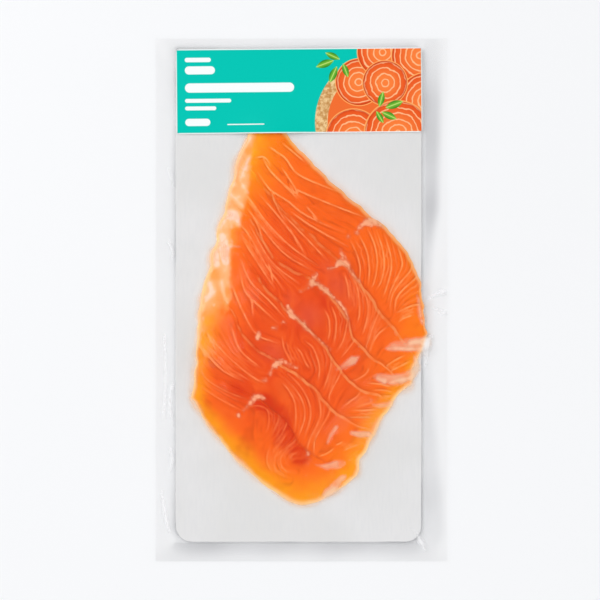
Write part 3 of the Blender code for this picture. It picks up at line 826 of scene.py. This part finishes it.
# The card's light comes back through the flesh where it thins out to its rim.
body = (1 - rim.rise(0.1, 2.4)).paint(body, seen(255, 198, 120))
shown_rim = wire.node("Attribute", output=2, attribute_name="shown_rim")
# Painted glow: the thin rim shines faintly, for the card's light coming through it and to lift the shade on
# its slopes.
feed(
    shader,
    Base_Color=body,
    Emission_Color=(1 - shown_rim.rise(0.2, 2.6)).paint(seen(0, 0, 0), seen(106, 106, 88)),
    Roughness=0.36 + fine * 0.2,
    Normal=wire.node("Bump", {"Strength": 0.25, "Distance": 0.0002, "Height": fibres * 0.5 + fine}),
)
for piece in slices:
    piece.data.materials.append(trout)


# ---- clear pouch ----------------------------------------------------------------------------
# A barrier film of polyamide and polyethylene, 0.1 mm thick, drawn down by vacuum over fish and
# card and welded flat all round. It is taut between what carries it, creased where it is spare,
# and pale where air keeps it off the wet flesh: a paleness painted in, partly as a painted reflection
# of the lights. Its creases carry painted highlights, and shade under it beside the card is painted.
FILM_STEP = 0.65 * MM
FILM_CLEARANCE = 0.12 * MM
WELD_TOP = 0.6 * MM
TENT_REACH = 4.2 * MM
FILM_TENSION_RADIUS = 7.0 * MM      # the vacuum bends the free film to this radius
RELAX_ROUNDS = 260
SMOOTH_ROUNDS = 14
POCKET_HEIGHT = 0.25 * MM
CREASE_HEIGHT = 0.35 * MM
FILM_RIPPLE = 0.02 * MM
FILM_RIPPLE_LENGTH = 6.0 * MM
FRINGE_WIDTH = 1.2 * MM     # of the pale juice and fat that the film holds along the fish's rim
FRINGE = (0.42, 0.18, 0.34, 0.42)   # how dense it is at the left, top, right and bottom
# Painted shade beside the card's right edge, where the film stands off: levels, how grey the shade is there,
# how far out it reaches.
RIGHT_SHADE_LEVELS = np.array((-125, -100, -60, -40, -24, 0, 22, 45, 100, 112, 124)) * MM
RIGHT_SHADE_GREYS = (0.20, 0.40, 0.32, 0.22, 0.0, 0.20, 0.50, 0.72, 0.72, 0.4, 0.2)
RIGHT_SHADE_REACHES = np.array((8, 7, 3.5, 2, 1, 0.5, 1.5, 5, 6.5, 6.5, 6.5)) * MM
RIGHT_SHADE_FADE = 6.0 * MM
# Air left under the film, which is painted pale, partly as a painted reflection of the lights: millimetres
# in the pack's frame, and half the width there.
POCKETS = (
    ((42.2, -24, 0.8), (46.7, -22.8, 2.5), (54.2, -22, 3.3), (62.0, -21.2, 3.4)),
    ((17.5, -34.5, 0.9), (21.5, -32.8, 1.9), (25.5, -30, 2.3), (28.5, -28.2, 0.8)),
    ((36.2, -38.5, 1.0), (39.7, -39, 2.8), (46.7, -40.0, 3.0), (54.2, -37.5, 2.8), (57.5, -35, 2.0)),
    ((35.2, -52, 0.6), (39.2, -52.8, 1.7), (44.2, -52, 1.9)),
    ((33.7, -48.6, 0.5), (34.7, -50.0, 0.9)),
    ((25.2, -66.3, 1.4), (29.2, -67, 1.9), (33.2, -66.8, 1.8)),
    ((6.7, -82, 0.4), (11.7, -83.0, 1.7), (17.7, -82, 2.6), (20.7, -81.5, 1.6)),
    ((11.7, -97, 1.8), (15.7, -93.5, 2.4), (20.2, -89, 1.9), (22, -88, 0.8)),
    ((57.7, 2.5, 0.7), (58.4, -2.5, 1.0), (59.0, -7.5, 1.2), (60.2, -10.5, 0.9)),
    ((56.5, -28.5, 1.0), (57.8, -33, 1.8), (57.0, -37, 1.0)),
    ((12.8, -71.5, 0.5), (14.6, -67.5, 1.5), (17.4, -63.4, 1.4)),
)
# Folds that stand up in the free film, in the same way; they are painted white as highlights where they
# catch the lights.
CREASES = (
    ((65.0, -18, 0.8), (63.4, -20.5, 1.8), (62.4, -25, 2.1), (62.0, -32, 0.8)),
    ((63.5, 0.5, 0.3), (66.5, 2.5, 1.0), (70.5, 4.0, 1.6)), ((66, -3.5, 0.3), (71, -6.5, 1.2)),
    ((54.8, -114, 0.3), (59.2, -118.5, 0.6)), ((57.5, -117, 0.4), (60, -121.5, 1.8), (61.5, -125, 0.6)),
    ((-66.8, 66, 0.3), (-65, 61, 0.7), (-63.8, 57, 0.3)),
    ((-68.5, -18, 0.3), (-68.0, -36, 0.6), (-69, -60, 0.3)),
    ((-66.5, 29.5, 0.3), (-64.6, 25.5, 0.8), (-64.5, 21.5, 0.3)),
    ((-64.5, -42, 0.3), (-66.0, -52, 0.7), (-64.5, -62, 0.5)),
    ((-65.8, -74, 0.4), (-64.6, -80, 0.9), (-66.0, -86, 0.3)),
    ((-70, -96, 0.3), (-68, -108, 0.8), (-66, -116, 0.3)),
)
# Places where the film is painted hazier still.
DENSE_AIR = (
    ((38.0, -39.2, 1.0), (41.5, -40.4, 1.3)), ((43.2, -24.5, 0.8), (48, -24.6, 1.0), (60, -25.0, 0.9)),
    ((60.0, -10.5, 0.8), (60.6, -11.5, 0.9)),
    ((-38.6, 41, 0.6), (-35.4, 42.6, 0.9)), ((-39.0, 28, 1.0), (-38.2, 22, 1.6)),
    ((-27.5, 80, 0.8), (-31, 73, 0.6)), ((-35.2, 26.6, 0.4), (-30.8, 26.6, 0.4)),
    ((44, -41.4, 0.6), (54, -38.8, 0.9)), ((58.6, 1, 0.5), (59.6, -8, 0.7)),
    ((54, -21.5, 1.0), (60, -20.8, 1.4)),
)

low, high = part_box("vacuum_pouch")
half_x = (high.x - low.x) / 2
half_y = (high.y - low.y) / 2
film_columns = int(round(2 * half_x / FILM_STEP)) + 1
film_rows = int(round(2 * half_y / FILM_STEP)) + 1
film_x, film_y = np.meshgrid(
    np.linspace(-half_x, half_x, film_columns),
    np.linspace(half_y, -half_y, film_rows),
)
step_x = 2 * half_x / (film_columns - 1)
step_y = 2 * half_y / (film_rows - 1)

# Distance outside the card, below 0 over it, and the height of what the film lies on.
corner = np.where(film_y > CARD_CENTRE[1], CARD_CORNERS[0], CARD_CORNERS[1])
beyond_x = np.abs(film_x - CARD_CENTRE[0]) - CARD_SIZE[0] / 2 + corner
beyond_y = np.abs(film_y - CARD_CENTRE[1]) - CARD_SIZE[1] / 2 + corner
outside_card = np.hypot(np.maximum(beyond_x, 0), np.maximum(beyond_y, 0))
outside_card += np.minimum(np.maximum(beyond_x, beyond_y), 0) - corner
support = np.where(outside_card < 0, CARD_FACE + FILM_CLEARANCE, WELD_TOP)
fish = np.zeros(film_x.shape)
for piece in slices:
    points = np.empty(len(piece.data.vertices) * 3)
    piece.data.vertices.foreach_get("co", points)
    points = points.reshape(-1, 3)
    column = np.clip(np.rint((points[:, 0] + half_x) / step_x).astype(int), 0, film_columns - 1)
    row = np.clip(np.rint((half_y - points[:, 1]) / step_y).astype(int), 0, film_rows - 1)
    np.maximum.at(fish, (row, column), points[:, 2])


def spread(grid):
    """The highest value among each place and its eight neighbours."""
    padded = np.pad(grid, 1, mode="edge")
    shifted = [padded[r:r + grid.shape[0], c:c + grid.shape[1]] for r in range(3) for c in range(3)]
    return np.max(shifted, axis=0)


def neighbours(grid):
    """The mean of each place's four neighbours."""
    padded = np.pad(grid, 1, mode="edge")
    return (padded[:-2, 1:-1] + padded[2:, 1:-1] + padded[1:-1, :-2] + padded[1:-1, 2:]) / 4


# The film is drawn tight: each place goes to its neighbours' mean, but never below what carries it.
fish_cover = np.where(spread(fish) > 0, spread(fish) + FILM_CLEARANCE, 0)
support = np.maximum(support, fish_cover)
free = outside_card < TENT_REACH
film_z = support.copy()
sag = step_x**2 / (4 * FILM_TENSION_RADIUS)
for pull in [sag] * RELAX_ROUNDS + [0.0] * SMOOTH_ROUNDS:
    film_z = np.where(free, np.maximum(support, neighbours(film_z) - pull), film_z)
film_flat = np.column_stack((film_x.ravel(), film_y.ravel()))


def inside(points, strokes):
    """How far each point is inside the nearest of some strokes."""
    return -nearest_run(points, drawn(strokes, steps=4), True)[:, 0]


pocket = inside(film_flat, POCKETS)
dense = inside(film_flat, DENSE_AIR)
crease = inside(film_flat, CREASES)


def fall(value, low, high):
    """A smooth step from 1, where the value is low, to 0, where it is high."""
    return 1 - smooth_step((value - low) / (high - low))


# How grey the painted shade under the free film is, beyond the card's right, left, lower and upper side.
off_card = np.maximum(outside_card, 0)
past = [
    np.clip(reach, 0, None) ** 2 + 1e-12
    for reach in (
        film_x - CARD_CENTRE[0] - CARD_SIZE[0] / 2,
        CARD_CENTRE[0] - CARD_SIZE[0] / 2 - film_x,
        CARD_CENTRE[1] - CARD_SIZE[1] / 2 - film_y,
        film_y - CARD_CENTRE[1] - CARD_SIZE[1] / 2,
    )
]
right_shade_reach = np.interp(film_y, RIGHT_SHADE_LEVELS, RIGHT_SHADE_REACHES)
right_shade = np.interp(film_y, RIGHT_SHADE_LEVELS, RIGHT_SHADE_GREYS) * fall(off_card, right_shade_reach, right_shade_reach + RIGHT_SHADE_FADE)
right_shade *= 1 - 0.9 * fall(off_card, 0.4 * MM, 3.0 * MM)
left_shade_levels = np.exp(-((film_y - 61 * MM) / (17 * MM)) ** 2) + fall(film_y, -105 * MM, -80 * MM)
left_shade = 0.3 * left_shade_levels * fall(off_card, 0.5 * MM, 3.5 * MM)
end_shade = 0.5 * fall(off_card, 0.5 * MM, 10 * MM) + 0.2
top_shade = np.full(film_x.shape, 0.05)
shade_parts = (right_shade, left_shade, end_shade, top_shade)
painted_shade = sum(share * part for share, part in zip(past, shade_parts)) / sum(past)
painted_shade *= np.where(outside_card > 0, 1 + 0.15 * waves(film_x, film_y, 21, 30 * MM), 0)

# Juice and fat that the film holds along the fish's rim.
side_rims = np.concatenate(side_rims)
sides = (side_rims[:, 0], edges_across[0, ::6], side_rims[:, 1], edges_across[-1, ::6])
rims = [np.column_stack((side, np.full(len(side), density))) for side, density in zip(sides, FRINGE)]
rim_runs = np.concatenate([np.hstack((rim[:-1], rim[1:])) for rim in rims])
off_fish, density = nearest_run(film_flat, rim_runs, False)[:, (0, 2)].T
width = FRINGE_WIDTH * (1 + 0.5 * waves(film_flat[:, 0], film_flat[:, 1], 31, 14 * MM))
fringe = density * np.exp(-((off_fish / width) ** 2))
film_z += POCKET_HEIGHT * np.clip(pocket / MM, 0, 1).reshape(film_z.shape)
film_z += CREASE_HEIGHT * np.clip(crease / MM + 0.5, 0, 1).reshape(film_z.shape)
film_z += FILM_RIPPLE * waves(film_x, film_y, 5, FILM_RIPPLE_LENGTH)

# The skin, closed at its rim and below by the flat underside of the pouch.
grid = np.arange(film_z.size).reshape(film_z.shape)
border = np.concatenate((grid[0, :-1], grid[:-1, -1], grid[-1, :0:-1], grid[:0:-1, 0]))
film_points = np.column_stack((film_flat, film_z.ravel()))
corners = (grid[:-1, :-1], grid[1:, :-1], grid[1:, 1:], grid[:-1, 1:])
film_faces = np.stack(corners, axis=2).reshape(-1, 4).tolist()
under_rim = film_points[border] * (1, 1, 0)
lower = np.arange(len(border)) + len(film_points)
film_faces += np.column_stack((border, np.roll(border, -1), np.roll(lower, -1), lower)).tolist()
film_faces.append(lower.tolist())
on_rim = np.zeros(len(border))
film = mesh_object(
    "pouch_film",
    np.concatenate((film_points, under_rim)),
    film_faces,
    air=np.column_stack((
        np.concatenate((pocket / MM, on_rim - 5)),
        np.concatenate((dense / MM, on_rim - 5)),
        np.concatenate((painted_shade.ravel(), on_rim)),
    )),
    crease=np.concatenate((crease / MM, on_rim - 5)),
    fringe=np.concatenate((fringe, on_rim)),
)

clear_film, wire, shader = finish("clear_film")
pocket, dense, painted_shade = parts("air")
crease = wire.node("Attribute", output=2, attribute_name="crease")
place = wire.node("TexCoord", output=3)
crinkle = place.noise(260.0, detail=3.0)
patches = place.noise(95.0, detail=2.0)
# Pale haze where air keeps the film off the flesh: partly a painted reflection of the lights.
edge = pocket + (crinkle - 0.5) * 1.3
haze = edge.rise(-0.6, 1.5) * patches.rise(0.35, 0.65, 0.2, 0.56)
haze = haze + (dense + (crinkle - 0.5) * 1.2).rise(-0.8, 1.2) * 0.4
fringe = wire.node("Attribute", output=2, attribute_name="fringe")
haze = haze + fringe * patches.rise(0.3, 0.7, 0.6, 1.2)
haze = (haze + 0.004).math("MINIMUM", 0.8)
# Painted highlight: the creases are painted white, as the glare of the lights on their folds.
glare = (crease + (crinkle - 0.5) * 1.6).rise(-0.9, 1.6) * patches.rise(0.3, 0.65, 0.3, 0.9)
haze_and_sheen = wire.node("BsdfDiffuse", {"Color": seen(255, 210, 172)})
white = wire.node("BsdfDiffuse", {"Color": seen(252, 252, 254)})
clear = wire.node("BsdfTransparent", {"Color": (1, 1, 1, 1)})
dim = wire.node("BsdfTransparent", {"Color": seen(226, 226, 227)})
gloss = wire.node("BsdfGlossy", {"Color": (1, 1, 1, 1), "Roughness": 0.12})
slant = wire.node("LayerWeight", {"Blend": 0.5}, output=1)
# Painted shade: the film lets less light through where the shade under it is painted.
skin = wire.node("MixShader", {0: painted_shade, 1: clear, 2: dim})
skin = wire.node("MixShader", {0: 0.009 + 0.5 * slant**5.0, 1: skin, 2: gloss})
skin = wire.node("MixShader", {0: haze, 1: skin, 2: haze_and_sheen})
skin = wire.node("MixShader", {0: glare, 1: skin, 2: white})
output = clear_film.node_tree.nodes["Material Output"]
clear_film.node_tree.nodes.remove(shader)
clear_film.node_tree.links.new(skin.socket, output.inputs["Surface"])
film.data.materials.append(clear_film)
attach(film, "root")
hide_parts("vacuum_pouch")


# ---- label ----------------------------------------------------------------------------------
# A self-adhesive paper label, varnished, stuck on the pouch across the card's upper end. Its print
# is a teal ground with plain bars and a picture made of simple shapes; its cut edge shows white.
LABEL_CENTRE = np.array((-1.2, 104.6)) * MM
LABEL_SIZE = np.array((123.0, 42.3)) * MM
LABEL_THICKNESS = 0.3 * MM
LABEL_TURN = np.radians(0.5)
LABEL_UNDERSIDE = 1.9 * MM
LABEL_CORNER = 2.0 * MM
# Where the fish's tip lifts the label.
SWELL_CENTRE = np.array((-15.0, 80.0)) * MM
SWELL_REACH = np.array((15.0, 13.0)) * MM
SWELL_HEIGHT = 2.6 * MM

PRINT_MARGIN = 0.45 * MM    # of unprinted paper round the cut edge
# Plain bars where a label has its lines of text, in mm from its middle: left, right, level, height.
BARS = (
    (-57.0, -44.0, 15.8, 2.2), (-57.0, -42.0, 10.6, 4.0), (-57.0, -2.5, 1.8, 4.6), (-57.0, -34.0, -4.6, 1.9),
    (-57.0, -41.5, -8.4, 1.9), (-57.0, -44.5, -15.4, 3.6), (-36.0, -17.5, -16.6, 0.5),
)
# The picture: overlapping rounds of orange rings, one band of tan, and leaves in two sprays.
ROUNDS = (
    (30.0, 4.0, 12.0), (42.0, 19.0, 13.0), (61.0, 17.0, 15.0), (27.0, -23.0, 14.0), (64.0, -6.0, 15.0),
    (43.0, 3.5, 11.5), (49.0, -22.0, 17.0),
)
TAN_BAND = (42.0, -16.0, 31.0, 3.2)      # x, y, radius and width
LEAVES = (      # x, y, turn in degrees, length
    (17.5, 15.0, 200.0, 9.5), (19.0, 12.0, 245.0, 9.0), (20.5, 15.5, 155.0, 8.0), (22.0, 13.5, 290.0, 7.5),
    (43.0, -9.0, 20.0, 9.5), (41.0, -11.0, 335.0, 8.5), (40.0, -8.5, 75.0, 8.0), (38.5, -10.5, 300.0, 7.0),
)
LEAF_SLIMNESS = 0.42

across = np.linspace(-1, 1, 125)
inset = LABEL_CORNER * (1 - np.cos(np.linspace(0, np.pi / 2, 8)))
middle = np.linspace(LABEL_CORNER, LABEL_SIZE[1] - LABEL_CORNER, 42)[1:-1]
along = np.concatenate((inset, middle, LABEL_SIZE[1] - inset[::-1]))
from_end = np.clip(np.minimum(along, LABEL_SIZE[1] - along), 0, LABEL_CORNER)
half_width = LABEL_SIZE[0] / 2 - LABEL_CORNER + np.sqrt(LABEL_CORNER**2 - (LABEL_CORNER - from_end) ** 2)
own_x = half_width[:, None] * across
own_y = np.broadcast_to((LABEL_SIZE[1] / 2 - along)[:, None], own_x.shape)
label_x = LABEL_CENTRE[0] + own_x * np.cos(LABEL_TURN) - own_y * np.sin(LABEL_TURN)
label_y = LABEL_CENTRE[1] + own_x * np.sin(LABEL_TURN) + own_y * np.cos(LABEL_TURN)
off_swell = (np.dstack((label_x, label_y)) - SWELL_CENTRE) / SWELL_REACH
label_z = LABEL_UNDERSIDE + SWELL_HEIGHT * np.exp(-(off_swell**2).sum(2))
label = closed_sheet(
    "front_label",
    np.dstack((label_x, label_y, label_z + LABEL_THICKNESS)),
    np.dstack((label_x, label_y, label_z)),
    print_place=np.column_stack((own_x.ravel() / MM, own_y.ravel() / MM, np.zeros(own_x.size))),
)
label_paper, wire, shader = finish("label_paper", Roughness=0.4, Specular_IOR_Level=0.05)
spot = wire.node("Attribute", output=1, attribute_name="print_place")
place = wire.node("TexCoord", output=3)
paper_grain = place.noise(900.0, detail=3.0)
print_x, print_y = (spot.node("SeparateXYZ", {0: spot}, output=axis) for axis in range(2))


def off_place(x, y):
    """Distance from a place on the label."""
    off_x = print_x - x
    off_y = print_y - y
    return (off_x * off_x + off_y * off_y).math("SQRT")


ink = (paper_grain * 0.3).paint(seen(0, 197, 180), seen(4, 190, 174))
middle_x, middle_y, radius, width = TAN_BAND
off_band = abs(off_place(middle_x, middle_y) - radius)
crumb = place.noise(600.0, detail=4.0).rise(0.35, 0.65).paint(seen(196, 142, 82), seen(240, 205, 150))
ink = (1 - off_place(middle_x, middle_y).rise(radius - 0.1, radius + 0.1)).paint(ink, seen(240, 110, 50))
ink = (1 - off_band.rise(width - 0.2, width + 0.1)).paint(ink, crumb)
for turn, (middle_x, middle_y, radius) in enumerate(ROUNDS):
    from_middle = off_place(middle_x, middle_y)
    wobble = from_middle + place.noise(150.0 + 20 * turn) * 2.4
    ring = abs((wobble / 2.9).math("FRACT") - 0.5)
    fish_ink = (from_middle / radius).rise(0.2, 1.0).paint(seen(250, 128, 60), seen(232, 84, 32))
    fish_ink = ring.rise(0.34, 0.46).paint(fish_ink, seen(255, 190, 140))
    fish_ink = from_middle.rise(radius - 2.2, radius).paint(fish_ink, seen(196, 62, 26))
    fish_ink = (from_middle / radius).rise(0.95, 0.97).paint(fish_ink, seen(255, 170, 96))
    ink = (1 - from_middle.rise(radius - 0.2, radius + 0.1)).paint(ink, fish_ink)
for middle_x, middle_y, turn, length in LEAVES:
    cosine = np.cos(np.radians(turn))
    sine = np.sin(np.radians(turn))
    along_leaf = ((print_x - middle_x) * cosine + (print_y - middle_y) * sine) / length
    across_leaf = ((print_y - middle_y) * cosine - (print_x - middle_x) * sine) / length
    swelling = along_leaf * (1 - along_leaf) * (4 * LEAF_SLIMNESS / 2)
    off_rib = abs(across_leaf)
    leaf_ink = (off_rib / LEAF_SLIMNESS).rise(0.0, 0.5).paint(seen(120, 190, 56), seen(44, 132, 40))
    leaf_ink = (1 - off_rib.rise(0.01, 0.035)).paint(leaf_ink, seen(190, 222, 120))
    ink = (swelling - off_rib).rise(-0.01, 0.02).paint(ink, leaf_ink)
for left, right, level, height in BARS:
    beyond = abs(print_x - (left + right) / 2) - (right - left - height) / 2
    beyond = beyond.math("MAXIMUM", 0.0)
    off_level = print_y - level
    round_end = (beyond * beyond + off_level * off_level).math("SQRT")
    ink = (1 - round_end.rise(height / 2 - 0.15, height / 2 + 0.15)).paint(ink, seen(246, 250, 250))
to_edge = (LABEL_SIZE / 2 - PRINT_MARGIN) / MM
beyond_print = abs(print_x) - to_edge[0]
beyond_print = beyond_print.math("MAXIMUM", abs(print_y) - to_edge[1])
ink = beyond_print.rise(-0.08, 0.08).paint(ink, seen(240, 246, 246))
feed(shader, Base_Color=ink, Roughness=0.32 + paper_grain * 0.12)
label.data.materials.append(label_paper)
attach(label, "root")
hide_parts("label")


# ---- table, light and camera ----------------------------------------------------------------
# A plain pale table, two soft boxes and a camera straight above the pack.
TABLE_HALF = 2.0
TABLE_LEVEL = -0.2 * MM     # just under the pouch, so that their faces never meet
CAMERA_HEIGHT = 1.668
CAMERA_X = -0.75 * MM

table = mesh_object(
    "pale_table",
    [(x * TABLE_HALF, y * TABLE_HALF, TABLE_LEVEL) for x, y in ((-1, -1), (1, -1), (1, 1), (-1, 1))],
    [(0, 1, 2, 3)],
)
table_finish, wire, shader = finish("pale_table", Roughness=0.8, Specular_IOR_Level=0.1)
place = wire.node("TexCoord", output=3)
feed(shader, Base_Color=place.noise(3.0).paint(seen(243, 244, 246), seen(245, 246, 248)))
table.data.materials.append(table_finish)


def soft_box(name, place, size, power):
    """A square area light at a place, turned to the pack."""
    data = bpy.data.lights.new(name, "AREA")
    data.size = size
    data.energy = power
    made = bpy.data.objects.new(name, data)
    made.location = place
    aim = np.array(place) / np.linalg.norm(place)
    made.rotation_euler = (np.arccos(aim[2]), 0, np.arctan2(aim[1], aim[0]) + np.pi / 2)
    bpy.context.scene.collection.objects.link(made)


soft_box("key_light", (-1.4, 0.8, 1.4), 2.0, 30.0)
soft_box("fill_light", (1.5, -1.1, 1.4), 2.0, 24.0)
world = bpy.data.worlds.new("studio")
bpy.context.scene.world = world
world.use_nodes = True
world.node_tree.nodes["Background"].inputs["Color"].default_value = (1.0, 1.0, 1.0, 1.0)
world.node_tree.nodes["Background"].inputs["Strength"].default_value = 0.48
bpy.context.scene.view_settings.view_transform = "Standard"

camera_data = bpy.data.cameras.new("camera")
camera_data.lens = 200.0
camera_data.sensor_width = 36.0
camera = bpy.data.objects.new("camera", camera_data)
camera.location = (CAMERA_X, 0.0, CAMERA_HEIGHT)
bpy.context.scene.collection.objects.link(camera)
bpy.context.scene.camera = camera
